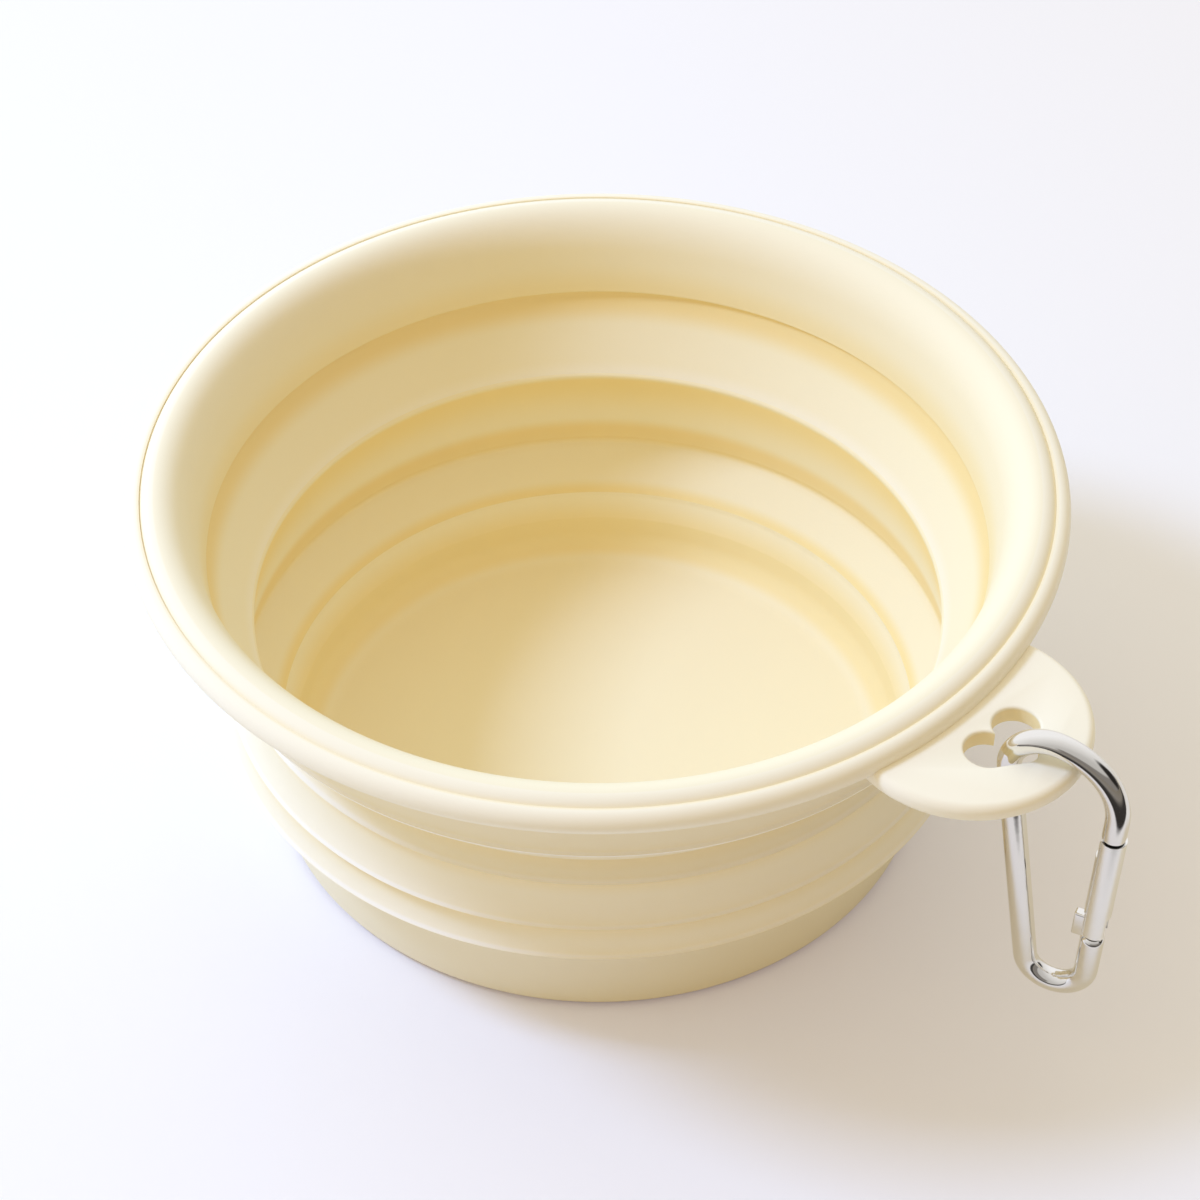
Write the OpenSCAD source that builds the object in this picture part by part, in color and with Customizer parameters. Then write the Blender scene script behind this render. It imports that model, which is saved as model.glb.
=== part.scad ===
// Collapsible pet bowl with a heart-holed hanging tab and a snap hook.
// The base's resting face lies on z = 0, and the tab points along +X.
// Radii run inwards from the parting groove, and heights run upwards from the table.

/* [Rim ring] */

// Radius of the parting groove between the soft crown and the hard ring
groove_r = 63; // [60:0.5:66]
// Section radius of the ring's rounded outer bead
bead_r = 1.8; // [1.5:0.1:2.1]
// Distance of the bead's section centre outside the parting groove
bead_out = 0.4; // [0.2:0.1:0.6]
// Height of the bead's section centre above the crown roll's centre
bead_up = 0.2; // [0:0.1:0.4]
// Width of the ledge that carries the soft crown
ledge_w = 2.8; // [2.4:0.1:3.2]
// Height of the ledge's upper face above its underside
ledge_h = 1.7; // [1.3:0.1:1.9]
// Gap left between pieces seated on each other
seat_gap = 0.04; // [0.02:0.01:0.08]

/* [Hanging tab] */

// Thickness of the tab
tab_t = 2.8; // [2.4:0.1:3.2]
// Depth of the tab's upper face below the bead's section centre
tab_down = 0.3; // [0.1:0.1:0.6]
// Radius of the tab's round outline
tab_r = 16.35; // [15.85:0.25:16.85]
// Distance of the outline's centre outside the parting groove
tab_out = 2.3; // [1.9:0.1:2.7]
// Radius of the tab's rounded edge
tab_edge_r = 1.2; // [0.8:0.1:1.2]
// Distance of the heart's lobe centres inside the tab's outer end
heart_in = 10.75; // [10.55:0.1:10.95]
// Radius of each lobe of the heart-shaped hole
heart_lobe_r = 3.1; // [3:0.05:3.2]
// Sideways distance of a lobe's centre from the tab's middle line
heart_lobe_y = 2.9; // [2.7:0.05:2.95]
// Radius of the heart's rounded tip
heart_tip_r = 2; // [1.9:0.05:2.1]
// Distance of the tip's centre beyond the lobe centres
heart_tip_run = 3.4; // [3.2:0.1:3.6]

/* [Soft bowl wall] */

// Section radius of the crown's roll
roll_r = 2.6; // [2.4:0.1:2.7]
// Distance of the roll's section centre inside the parting groove
roll_in = 2; // [1.8:0.1:2.2]
// Width of the crown's long rounding into the bowl
crown_w = 5; // [4.7:0.1:5.3]
// Height of that rounding
crown_h = 7.6; // [7.2:0.1:8]
// Distance of the crease below the rim wall inside the parting groove
rim_in = 8.1; // [7.9:0.1:8.5]
// Height of the roll's section centre above the crease
rim_h = 9.7; // [9.4:0.1:10.1]
// Distance of the skirt lip's outer face outside the crease
skirt_out = 2.5; // [2.3:0.1:2.8]
// Drop of the skirt's lip below the crease
skirt_drop = 4; // [3.4:0.1:4.6]
// Wall thickness of the skirt
skirt_t = 1.2; // [1:0.1:1.4]
// Gap between the skirt's lip and the middle band's lip when folded
nest_gap = 1.4; // [1.2:0.1:1.6]
// How far the upper fold closes in from the crease to the middle band
upper_run = 5.7; // [5.4:0.1:6]
// Height of the upper fold
upper_drop = 12; // [11.4:0.1:12.6]
// How far the upper fold's hinge line is tucked outwards behind the crease
upper_tuck = 0.1; // [0:0.05:0.2]
// Height of the middle band above its low crease
band_h = 12.8; // [12.2:0.1:13.4]
// How far the middle band opens down to its low crease
band_flare = 2.4; // [2.1:0.1:2.7]
// Height of the middle band's foot below the low crease
foot_h = 2.3; // [2:0.1:2.6]
// How far the foot opens below the low crease
foot_flare = 0.4; // [0.2:0.1:0.6]
// Drop of the band's lower lip below its inner end
lip_drop = 0.6; // [0.4:0.1:0.9]
// Distance of the ridge at the band's top outside the band's inner face
ridge_out = 2.8; // [2.6:0.1:3]
// Depth of that ridge below the band's upper edge
ridge_down = 2; // [1.7:0.1:2.3]
// Distance of the rib halfway down outside the low crease
rib_out = 1.8; // [1.6:0.1:2]
// Height of that rib above the low crease
rib_up = 2.5; // [2.2:0.1:2.8]
// Depth of the small steps under the ridge and the rib
step_d = 0.7; // [0.5:0.1:0.8]
// Height of those small steps
step_h = 0.4; // [0.3:0.1:0.5]
// How far the lower fold closes in from the middle band to the base
lower_run = 5.3; // [5:0.1:5.6]
// Height of the lower fold
lower_drop = 7.2; // [6.8:0.1:7.6]
// Thickness of the flexible folds
fold_t = 1.3; // [1.2:0.1:1.5]
// Thickness of the hinge lines at the upper end of each fold
hinge_t = 0.8; // [0.7:0.1:0.9]

/* [Base] */

// Thickness of the floor inside the bowl
floor_t = 1.8; // [1.6:0.1:2.2]
// Height of the rounding between the floor and the cup's wall
round_h = 1.8; // [1.6:0.1:2.2]
// Width of that rounding
round_w = 2.8; // [2.4:0.1:3.2]
// Height of the cup's wall between the rounding and its crease
cup_side_h = 3.8; // [3.4:0.1:4.2]
// How far that wall opens
cup_side_out = 0.5; // [0.3:0.1:0.8]
// Height of the cup's upper band above the crease
cup_band_h = 4.2; // [3.8:0.1:4.6]
// How far the upper band opens
cup_band_out = 1.5; // [1.3:0.1:1.8]
// Wall thickness at the cup's upper edge
cup_wall = 2.3; // [2.1:0.1:2.5]
// How far the base's outer wall closes in down to the table
foot_in = 0.6; // [0.4:0.1:0.8]
// Chamfer round the base's lower edge
foot_chamfer = 0.8; // [0.5:0.1:1]

/* [Snap hook] */

// Radius of the hook's wire
wire_r = 1.6; // [1.5:0.05:1.65]
// Distance of the hanging point beyond the heart's lobe centres
hang_out = 1.9; // [1.7:0.1:2]
// Sideways distance of the hanging point from the tab's middle line
hang_y = 0.9; // [0.8:0.05:1]
// Turn of the hook's plane about the vertical, from the tab's middle line
hang_turn = 20; // [18:0.5:22]
// Lean of the hook's straight spine from the vertical
spine_lean = 9.2; // [9:0.1:9.4]
// Lean of the gate's line from the vertical
gate_lean = 1.35; // [1:0.05:1.6]
// Run of the spine from the hanging point down to the lower bend
spine_run = 36.6; // [36:0.1:37]
// Run from the hanging point down to the start of the upper corner
corner_drop = 1.7; // [1.5:0.1:1.8]
// Centre-line radius of the lower bend
bend_r = 4.25; // [4.1:0.05:4.4]
// Centre-line radius of the upper corner
corner_r = 5.3; // [5.2:0.05:5.4]
// Centre-line radius of the long top arc
arc_r = 10.4; // [10.2:0.1:10.6]

/* [Gate] */

// Radius of the gate
gate_r = 1.8; // [1.75:0.01:1.85]
// Distance of the gate's lower end above the lower bend
gate_low = 8.1; // [7.8:0.1:8.4]
// Distance of the gate's upper end above the lower bend
gate_high = 26.4; // [26:0.1:26.6]
// Distance of the hinge pin below the gate's upper end
pin_drop = 1.9; // [1.8:0.1:2.1]
// Radius of the hinge pin
pin_r = 0.55; // [0.5:0.05:0.6]
// Running clearance round the hinge pin
pin_clear = 0.05; // [0.03:0.01:0.09]
// Fit left round the pin in the tongue that holds it
pin_fit = 0.01; // [0.005:0.005:0.02]
// Thickness of the flattened tongue the gate turns on
tongue_t = 1.4; // [1.2:0.1:1.5]
// Clearance on each side of the tongue and of the nose
slot_clear = 0.3; // [0.25:0.01:0.35]
// Radius of the tongue's rounded end
tongue_r = 1.5; // [1.4:0.05:1.55]
// Gap between the gate's upper end and the wire's shoulder
end_gap = 0.7; // [0.65:0.05:0.9]
// Gap between the gate's lower end and the wire's shoulder
neck_gap = 0.7; // [0.5:0.05:0.9]
// Height of the nose plate above the lower shoulder
nose_h = 4.2; // [3.8:0.1:4.6]
// How far the nose plate stands out on the inside of the gate
nose_out = 0.8; // [0.6:0.1:0.9]
// Radius of the nose plate's rounded corners
nose_corner_r = 0.6; // [0.4:0.1:0.8]

/* [Hidden] */

$fn = 64;
full_turn = 360;
right_angle = 90;
half = 0.5;
round_steps = 6;
crown_steps = 10;
radian = full_turn * half / PI;

// Heights, from the table up to the tab
cup_round_z = floor_t + round_h;
cup_crease_z = cup_round_z + cup_side_h;
cup_top_z = cup_crease_z + cup_band_h;
band_end_z = cup_top_z + lower_drop;
band_low_z = band_end_z + foot_h;
band_top_z = band_low_z + band_h;
crease_z = band_top_z + upper_drop;
roll_z = crease_z + rim_h;
bead_z = roll_z + bead_up;
tab_top_z = bead_z - tab_down;
tab_low_z = tab_top_z - tab_t;
ledge_top_z = tab_low_z + ledge_h;

// Inner radii, from the parting groove down to the floor
crease_r = groove_r - rim_in;
band_top_r = crease_r - upper_run;
band_low_r = band_top_r + band_flare;
band_end_r = band_low_r + foot_flare;
cup_top_r = band_end_r - lower_run;
cup_crease_r = cup_top_r - cup_band_out;
cup_round_r = cup_crease_r - cup_side_out;
floor_r = cup_round_r - round_w;

// Hard ring and tab
bead_x = groove_r + bead_out;
ledge_in_r = groove_r - ledge_w;
bead_side_share = 0.8;
ring_foot_r = groove_r + bead_r * half;
ring_side_r = groove_r + bead_r * bead_side_share;
ring_side_z = bead_z - bead_r * half;
ring_cap_z = bead_z + bead_r * half;
tab_x = groove_r + tab_out;
cut_shares = 3;
tab_cut_h = tab_t * cut_shares;

// Crown and skirt
roll_x = groove_r - roll_in;
crown_out_r = groove_r - seat_gap;
crown_low_z = roll_z + roll_r - crown_h;
// The rim wall runs straight up from the crease and meets the crown's rounding without a kink
lean_run = (roll_x - crease_r) / crown_w;
lean_rise = (crown_low_z - crease_z) / crown_h;
crown_turn = asin(1 / sqrt(lean_run * lean_run + lean_rise * lean_rise)) + atan2(lean_rise, lean_run);
seat_r = ledge_in_r - seat_gap;
seat_z = ledge_top_z + seat_gap;
root_share = 0.3;
shoulder_share = 0.6;
under_share = 0.7;
skirt_r = crease_r + skirt_out;
skirt_z = crease_z - skirt_drop;
skirt_in_r = skirt_r - skirt_t;
skirt_root_r = skirt_in_r + fold_t * root_share;
skirt_shoulder_r = skirt_r + fold_t * root_share;
skirt_shoulder_z = crease_z - fold_t * shoulder_share;
rim_under_z = tab_low_z - fold_t * under_share;

// Folds: a share of each fold, at its upper end, is the thin hinge line
level_share = 1.15;
low_level_share = 1.3;
upper_hinge_share = 0.13;
lower_hinge_share = 0.25;
fold_w = fold_t * level_share;
low_hinge_w = hinge_t * low_level_share;
upper_hinge_r = crease_r + upper_tuck;
upper_hinge_z = crease_z - upper_drop * upper_hinge_share;
lower_hinge_r = band_end_r - lower_run * lower_hinge_share;
lower_hinge_z = band_end_z - lower_drop * lower_hinge_share;

// Middle band
lip_r = skirt_in_r - nest_gap;
lip_in_r = lip_r - fold_t;
lip_z = band_end_z - lip_drop;
ridge_r = band_top_r + ridge_out;
ridge_z = band_top_z - ridge_down;
rib_r = band_low_r + rib_out;
rib_z = band_low_z + rib_up;

// Base
cup_out_r = cup_top_r + cup_wall;
foot_r = cup_out_r - foot_in;

// Heart-shaped hole
heart_x = tab_x + tab_r - heart_in;
heart_tip_x = heart_x + heart_tip_run;
heart_dist = sqrt(heart_tip_run * heart_tip_run + heart_lobe_y * heart_lobe_y);
heart_aim = atan2(heart_lobe_y, heart_tip_run);
heart_side = acos((heart_lobe_r - heart_tip_r) / heart_dist) - heart_aim;

// The hook's centre line lies in one plane: x is the level run away from the bowl, y is the height
hang_x = heart_x + hang_out;
hang_z = tab_top_z - tab_t * half;
bend_x = spine_run * sin(spine_lean) + bend_r * cos(spine_lean);
bend_y = bend_r * sin(spine_lean) - spine_run * cos(spine_lean);
corner_x = corner_drop * sin(spine_lean) + corner_r * cos(spine_lean);
corner_y = corner_r * sin(spine_lean) - corner_drop * cos(spine_lean);
// The long arc meets the gate's line and the upper corner without a kink
base_x = bend_x - (arc_r - bend_r) * cos(gate_lean) - corner_x;
base_y = bend_y + (arc_r - bend_r) * sin(gate_lean) - corner_y;
base_along = base_x * sin(gate_lean) + base_y * cos(gate_lean);
base_sq = base_x * base_x + base_y * base_y;
line_run = -base_along - sqrt(base_along * base_along - base_sq + (arc_r - corner_r) * (arc_r - corner_r));
arc_x = corner_x + base_x + line_run * sin(gate_lean);
arc_y = corner_y + base_y + line_run * cos(gate_lean);
join_turn = atan2(corner_y - arc_y, corner_x - arc_x);
spine_turn = full_turn * half + spine_lean;
// Neighbouring lengths of wire run a little way into each other, the curved ones a hair thinner
lap_share = 0.15;
step_share = 0.015;
join_lap = wire_r * lap_share;
slim_r = wire_r - wire_r * step_share;
slimmer_r = slim_r - wire_r * step_share;

// Gate, tongue and nose
shoulder_low = gate_low - neck_gap;
shoulder_high = gate_high + end_gap;
pin_at = gate_high - pin_drop;
slot_w = tongue_t + slot_clear * 2;
slot_depth = gate_high - pin_at + tongue_r + slot_clear;
nose_top = shoulder_low + nose_h;
nose_slot_h = nose_top + slot_clear - gate_low;
nose_in = gate_r + nose_out;
back_share = 0.7;
neck_in_share = 0.75;
cut_w_shares = 4;
pin_len_shares = 1.9;
nose_back = gate_r * back_share;
neck_in = gate_r * neck_in_share;
cut_w = gate_r * cut_w_shares;
pin_len = gate_r * pin_len_shares;

// Half of a plain ring section, from an inner to an outer radius and between two heights
module block(r_in, r_out, z_low, z_high)
{
    translate([r_in, z_low])
        square([r_out - r_in, z_high - z_low]);
}

// Section of the hard ring: a rounded bead with a flat ledge inside it
module ring_section()
{
    difference()
    {
        translate([bead_x, bead_z])
            circle(r = bead_r);
        block(ledge_in_r, groove_r, tab_low_z, roll_z + roll_r);
    }
    polygon([
        [ledge_in_r, tab_low_z],
        [ring_foot_r, tab_low_z],
        [ring_side_r, ring_side_z],
        [groove_r, ring_cap_z],
        [groove_r, ledge_top_z],
        [ledge_in_r, ledge_top_z]
    ]);
}

// Section of the tab's disc, with a rounded upper and lower edge
module tab_section()
{
    flat_r = tab_r - tab_edge_r;
    block(0, flat_r, tab_low_z, tab_top_z);
    block(0, tab_r, tab_low_z + tab_edge_r, tab_top_z - tab_edge_r);
    translate([flat_r, tab_low_z + tab_edge_r])
        circle(r = tab_edge_r);
    translate([flat_r, tab_top_z - tab_edge_r])
        circle(r = tab_edge_r);
}

// One side of the heart, from its lobe to its tip
module heart_half(side)
{
    translate([heart_x, side * heart_lobe_y])
        circle(r = heart_lobe_r);
    polygon([
        [heart_x, 0],
        [heart_x, side * heart_lobe_y],
        [
            heart_x + heart_lobe_r * cos(heart_side),
            side * (heart_lobe_y + heart_lobe_r * sin(heart_side))
        ],
        [
            heart_tip_x + heart_tip_r * cos(heart_side),
            side * heart_tip_r * sin(heart_side)
        ],
        [heart_tip_x, 0]
    ]);
}

// Outline of the heart-shaped hole, its tip pointing away from the bowl
module heart_outline()
{
    heart_half(1);
    heart_half(-1);
    translate([heart_tip_x, 0])
        circle(r = heart_tip_r);
}

// Hard rim ring in one piece with its hanging tab
module rim_ring()
{
    color([0.96, 0.93, 0.82])
    {
        rotate_extrude()
            ring_section();
        difference()
        {
            translate([tab_x, 0, 0])
                rotate_extrude()
                    tab_section();
            translate([0, 0, tab_low_z - tab_t])
                cylinder(h = tab_cut_h, r = bead_x);
            translate([0, 0, tab_low_z - tab_t])
                linear_extrude(height = tab_cut_h)
                    heart_outline();
        }
    }
}

// Section of the soft crown: a roll over the ledge, the rim wall and the skirt below it
module crown_section()
{
    difference()
    {
        union()
        {
            translate([roll_x, roll_z])
                circle(r = roll_r);
            polygon([
                for (k = [0 : crown_steps])
                    let (turn = crown_turn * k / crown_steps)
                        [roll_x - crown_w * sin(turn), crown_low_z + crown_h * cos(turn)],
                [crease_r, crease_z],
                [skirt_root_r, crease_z],
                [skirt_in_r, skirt_z],
                [skirt_r, skirt_z],
                [skirt_shoulder_r, skirt_shoulder_z],
                [seat_r, rim_under_z],
                [seat_r, seat_z],
                [roll_x, seat_z]
            ]);
        }
        block(seat_r, groove_r + roll_r, tab_low_z - tab_t, seat_z);
        block(crown_out_r, groove_r + roll_r, tab_low_z, roll_z + roll_r);
    }
}

// Soft crown, rim wall and skirt, seated in the ring
module rim_crown()
{
    color([0.95, 0.92, 0.78])
        rotate_extrude()
            crown_section();
}

// Upper flexible fold: a thin hinge line and a sloping panel
module upper_fold()
{
    color([0.92, 0.84, 0.58])
        rotate_extrude()
            polygon([
                [crease_r, crease_z],
                [upper_hinge_r, upper_hinge_z],
                [band_top_r, band_top_z],
                [band_top_r + fold_w, band_top_z],
                [upper_hinge_r + hinge_t, upper_hinge_z],
                [crease_r + hinge_t, crease_z]
            ]);
}

// Middle band: a nearly upright wall with a ridge, a rib and a lower lip outside
module middle_band()
{
    color([0.94, 0.88, 0.68])
        rotate_extrude()
            polygon([
                [band_top_r, band_top_z],
                [band_low_r, band_low_z],
                [band_end_r, band_end_z],
                [lip_in_r, band_end_z],
                [lip_in_r, lip_z],
                [lip_r, lip_z],
                [rib_r - step_d, rib_z - step_h],
                [rib_r, rib_z],
                [ridge_r - step_d, ridge_z - step_h],
                [ridge_r, ridge_z],
                [band_top_r + fold_w, band_top_z]
            ]);
}

// Lower flexible fold: a thin hinge line and a sloping panel
module lower_fold()
{
    color([0.92, 0.84, 0.58])
        rotate_extrude()
            polygon([
                [band_end_r, band_end_z],
                [lower_hinge_r, lower_hinge_z],
                [cup_top_r, cup_top_z],
                [cup_top_r + fold_w, cup_top_z],
                [lower_hinge_r + fold_w, lower_hinge_z],
                [lower_hinge_r + low_hinge_w, lower_hinge_z + hinge_t],
                [band_end_r + hinge_t, band_end_z]
            ]);
}

// Base cup with a flat floor that the bowl stands on
module base_cup()
{
    color([0.9, 0.85, 0.7])
        rotate_extrude()
            polygon([
                [0, 0],
                [foot_r - foot_chamfer, 0],
                [foot_r, foot_chamfer],
                [cup_out_r, cup_top_z],
                [cup_top_r, cup_top_z],
                [cup_crease_r, cup_crease_z],
                for (k = [round_steps : -1 : 0])
                    let (turn = right_angle * k / round_steps)
                        [floor_r + round_w * sin(turn), floor_t + round_h * (1 - cos(turn))],
                [0, floor_t]
            ]);
}

// Puts the hook's flat drawing upright at the hanging point
module hook_place()
{
    translate([hang_x, -hang_y, hang_z])
        rotate([0, 0, hang_turn])
            rotate([right_angle, 0, 0])
                children();
}

// A curved length of wire, run a little way into its neighbours: centre, centre-line radius,
// first angle, sweep and wire radius
module bend(cx, cy, r, first, sweep, thick)
{
    lap = join_lap / r * radian;
    translate([cx, cy, 0])
        rotate([0, 0, first - lap])
            rotate_extrude(angle = sweep + lap * 2)
                translate([r, 0])
                    circle(r = thick);
}

// A frame whose y axis runs up the gate's line from the lower bend
module gate_line()
{
    translate([bend_x + bend_r * cos(gate_lean), bend_y - bend_r * sin(gate_lean), 0])
        rotate([0, 0, -gate_lean])
            children();
}

// A straight round length along y
module rod(r, from, to)
{
    translate([0, from, 0])
        rotate([-right_angle, 0, 0])
            cylinder(h = to - from, r = r);
}

// Bent wire of the hook, with a flattened tongue above and a nose plate below the gate
module hook_wire()
{
    color([0.78, 0.78, 0.8])
        hook_place()
        {
            rotate([0, 0, spine_lean])
                rod(wire_r, -spine_run, -corner_drop);
            bend(corner_x, corner_y, corner_r, join_turn, spine_turn - join_turn, slimmer_r);
            bend(arc_x, arc_y, arc_r, -gate_lean, join_turn + gate_lean, slim_r);
            bend(bend_x, bend_y, bend_r, spine_turn, full_turn - gate_lean - spine_turn, slim_r);
            gate_line()
            {
                rod(wire_r, 0, shoulder_low);
                rod(wire_r, shoulder_high, line_run);
                tongue();
                nose();
            }
        }
}

// Flattened tongue between the gate's two arms
module tongue()
{
    translate([0, 0, -tongue_t * half])
        linear_extrude(height = tongue_t)
            difference()
            {
                union()
                {
                    translate([0, pin_at])
                        circle(r = tongue_r);
                    translate([-tongue_r, pin_at])
                        square([tongue_r * 2, shoulder_high - pin_at + end_gap]);
                }
                translate([0, pin_at])
                    circle(r = pin_r + pin_fit);
            }
}

// Nose plate standing on the lower shoulder, its head showing on the inside of the gate
module nose()
{
    translate([0, 0, -tongue_t * half])
        linear_extrude(height = tongue_t)
        {
            translate([-neck_in, shoulder_low - neck_gap])
                square([neck_in + nose_back, nose_top - nose_corner_r - shoulder_low + neck_gap]);
            translate([-nose_in, shoulder_low + nose_corner_r])
                square([nose_in, nose_h - nose_corner_r * 2]);
            translate([nose_corner_r - nose_in, shoulder_low])
                square([nose_in + nose_back - nose_corner_r * 2, nose_h]);
            translate([nose_corner_r - nose_in, shoulder_low + nose_corner_r])
                circle(r = nose_corner_r);
            translate([nose_corner_r - nose_in, nose_top - nose_corner_r])
                circle(r = nose_corner_r);
            translate([nose_back - nose_corner_r, nose_top - nose_corner_r])
                circle(r = nose_corner_r);
        }
}

// Rivet the gate turns on, fixed in the tongue
module gate_pin()
{
    color([0.7, 0.7, 0.72])
        hook_place()
            gate_line()
                translate([0, pin_at, -pin_len * half])
                    cylinder(h = pin_len, r = pin_r);
}

// Round gate, slotted above for the tongue and below for the nose
module gate()
{
    color([0.82, 0.82, 0.84])
        hook_place()
            gate_line()
                difference()
                {
                    rod(gate_r, gate_low, gate_high);
                    translate([-cut_w * half, gate_high - slot_depth, -slot_w * half])
                        cube([cut_w, cut_w, slot_w]);
                    translate([-cut_w * half, gate_low - cut_w + nose_slot_h, -slot_w * half])
                        cube([cut_w, cut_w, slot_w]);
                    translate([0, pin_at, -cut_w * half])
                        cylinder(h = cut_w, r = pin_r + pin_clear);
                }
}

rim_ring();
rim_crown();
upper_fold();
middle_band();
lower_fold();
base_cup();
hook_wire();
gate_pin();
gate();
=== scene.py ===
"""Looks of the collapsible pet bowl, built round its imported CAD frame.

Named sizes are millimetres, which MM turns into Blender's metres; only the studio is in metres.
"""
import math

import bmesh
import bpy
from mathutils import Matrix, Vector

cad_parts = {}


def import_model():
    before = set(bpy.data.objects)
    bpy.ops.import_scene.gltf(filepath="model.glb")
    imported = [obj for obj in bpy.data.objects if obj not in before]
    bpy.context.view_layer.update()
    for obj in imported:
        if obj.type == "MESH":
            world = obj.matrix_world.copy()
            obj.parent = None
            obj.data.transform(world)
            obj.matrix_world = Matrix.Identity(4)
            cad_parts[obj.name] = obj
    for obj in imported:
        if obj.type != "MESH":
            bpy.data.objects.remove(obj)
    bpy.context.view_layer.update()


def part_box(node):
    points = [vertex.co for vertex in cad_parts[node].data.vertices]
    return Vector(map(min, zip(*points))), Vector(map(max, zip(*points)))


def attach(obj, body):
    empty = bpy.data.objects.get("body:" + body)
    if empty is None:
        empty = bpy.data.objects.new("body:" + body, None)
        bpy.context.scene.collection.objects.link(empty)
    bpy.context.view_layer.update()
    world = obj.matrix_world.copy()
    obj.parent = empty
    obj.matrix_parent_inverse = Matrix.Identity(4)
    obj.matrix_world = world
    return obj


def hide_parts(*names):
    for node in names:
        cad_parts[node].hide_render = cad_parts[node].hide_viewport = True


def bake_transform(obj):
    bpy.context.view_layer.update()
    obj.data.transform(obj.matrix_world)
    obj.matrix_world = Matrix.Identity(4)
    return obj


MM = 0.001
PER_MM = 1 / MM
FULL_TURN = math.tau

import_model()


# Sizes of the bowl

def low(node):
    """Lowest height of a CAD node."""
    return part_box(node)[0].z / MM


def top(node):
    """Highest height of a CAD node."""
    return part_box(node)[1].z / MM


def reach(node):
    """Largest radius of a CAD node that is turned about the bowl's axis."""
    return -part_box(node)[0].y / MM


CUP_TOP_Z = top("base_cup")
BAND_END_Z = top("lower_fold")
BAND_TOP_Z = top("middle_band")
CREASE_Z = top("upper_fold")
SKIRT_Z = low("rim_crown")
CROWN_TOP_Z = top("rim_crown")
RING_LOW_Z = low("rim_ring")
LIP_Z = low("middle_band")
CUP_R = reach("base_cup")
LIP_R = reach("middle_band")
CROWN_R = reach("rim_crown")
RING_R = reach("rim_ring")

# The crown's roll, and the hard ring's bead and ledge that it lies on
SEAT_GAP, CROWN_LAP = 0.04, 0.06
GROOVE_R = CROWN_R + SEAT_GAP
ROLL_R, ROLL_IN = 2.6, 2.0
ROLL_X, ROLL_Z = GROOVE_R - ROLL_IN, CROWN_TOP_Z - ROLL_R
BEAD_R, BEAD_UP, GROOVE_EDGE = 1.8, 0.2, 1.42
BEAD_X, BEAD_Z = RING_R - BEAD_R, ROLL_Z + BEAD_UP
LEDGE_W, LEDGE_H = 2.8, 1.7

# The crown's long rounding into the bowl
CROWN_W, CROWN_H = 5.0, 7.6
CROWN_LOW_Z = CROWN_TOP_Z - CROWN_H

# Soft wall: inner radii and their heights, from the crown down to the base
RIM_IN, UPPER_RUN, LOWER_RUN = 8.1, 5.7, 5.3
BAND_H, BAND_FLARE, FOOT_FLARE = 12.8, 2.4, 0.4
CREASE_R = GROOVE_R - RIM_IN
BAND_TOP_R = CREASE_R - UPPER_RUN
BAND_LOW_R, BAND_LOW_Z = BAND_TOP_R + BAND_FLARE, BAND_TOP_Z - BAND_H
BAND_END_R = BAND_LOW_R + FOOT_FLARE
CUP_TOP_R = BAND_END_R - LOWER_RUN
LIP_DROP, LIP_IN = 0.35, 0.3

# Folds: the panels' level width, and how far out, how thick and how high each hinge line is
FOLD_W = 1.5
UPPER_HINGE_OUT, UPPER_HINGE_T, UPPER_HINGE_H = 0.4, 0.6, 2.0
LOWER_HINGE_OUT, LOWER_HINGE_T, LOWER_HINGE_H = 0.45, 0.9, 1.2

# Lapped lips outside: the skirt below its waist, the band's ridge and rib, their steps and thin hems
SKIRT_OUT, SKIRT_T, SKIRT_TAPER, SKIRT_LIP_H = 2.5, 1.8, 0.4, 0.45
SKIRT_R = CREASE_R + SKIRT_OUT
WAIST_IN, WAIST_UP, WAIST_DOWN, UNDER_DROP = 1.1, 0.5, 0.3, 0.9
RIDGE_R, RIDGE_Z = BAND_TOP_R + 3.4, BAND_TOP_Z - 2.8
RIB_R, RIB_Z = BAND_LOW_R + 2.3, BAND_LOW_Z + 2.35
STEP_D, STEP_H = 1.0, 0.25
BAND_LIP_T = 1.3
HEM, HEM_FALL, FLARE_SHARE = 0.3, 0.4, 0.2

# Base cup, from its floor up to the crease below its sloping strip
FLOOR_R, FLOOR_Z = 41.9, 1.8
SIDE_R, SIDE_Z = 44.7, 3.6
CUP_CREASE_R, CUP_CREASE_Z = 45.1, 7.5
FOOT_IN, FOOT_CHAMFER = 0.8, 0.9

# Tab with its heart-shaped hole: two lobes and a tip, and the middle that it is drawn round
TAB_T, TAB_DROP, TAB_R, TAB_OUT = 2.8, 0.3, 16.35, 2.3
TAB_TOP_Z, TAB_X = BEAD_Z - TAB_DROP, GROOVE_R + TAB_OUT
TAB_LOW_Z = TAB_TOP_Z - TAB_T
TAB_EDGE, HEART_EDGE = 1.2, 0.4
HEART_X = GROOVE_R + 7.9
HEART_MIDDLE = HEART_X + 0.6
LOBE_R, LOBE_Y = 3.1, 2.9
TIP_R, TIP_RUN = 2.0, 3.4

# Fineness of turned and round pieces, and how near is the same place
TURN_STEPS = 224
CROWN_STEPS = 30
ROLL_STEPS = 12
BEAD_STEPS = 20
LOOP_STEPS = 160
RING_SIDES = 48
SAME, WELD = 0.001, 0.0005
OVERRUN = 1.0


# Sizes and line of the snap hook

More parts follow.
